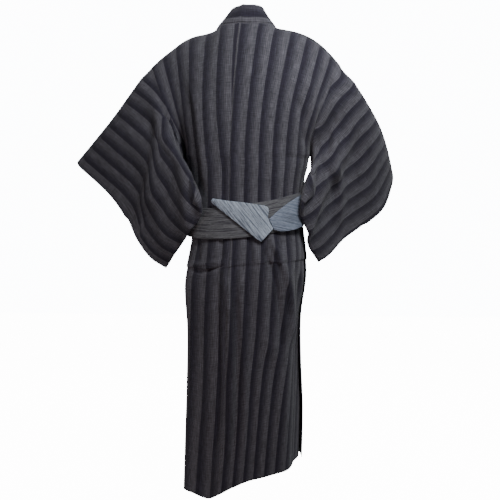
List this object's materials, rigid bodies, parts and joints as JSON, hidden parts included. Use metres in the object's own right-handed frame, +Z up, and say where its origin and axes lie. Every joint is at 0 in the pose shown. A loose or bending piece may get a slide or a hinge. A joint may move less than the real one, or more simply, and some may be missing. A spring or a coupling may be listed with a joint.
{
  "type": "yukata robe",
  "caption": "Worn cotton yukata robe with hanging square sleeves, crossed collar and a stiff sash tied at the back; hollow, open at neck, cuffs and hem.",
  "frame": {"origin": "between the wearer's shoulders, at the height where the neck seam crosses the shoulder folds", "axes": "+Z up, the front of the robe faces -Y, the wearer's left is +X"},
  "size_m": [0.9447, 0.4034, 1.3991],
  "materials": {
    "yukata_cloth": "matt woven cotton with dark stripes",
    "obi_cloth": "stiff matt woven sash with fine dark streaks"
  },
  "bodies": {
    "root": {"body_left": "yukata_cloth", "body_right": "yukata_cloth", "okumi_left": "yukata_cloth", "okumi_right": "yukata_cloth", "sleeve_left": "yukata_cloth", "sleeve_right": "yukata_cloth", "collar": "yukata_cloth", "collar_cover": "yukata_cloth", "obi_wrap": "obi_cloth", "obi_tongue": "obi_cloth", "obi_tail": "obi_cloth"}
  },
  "joints": []
}
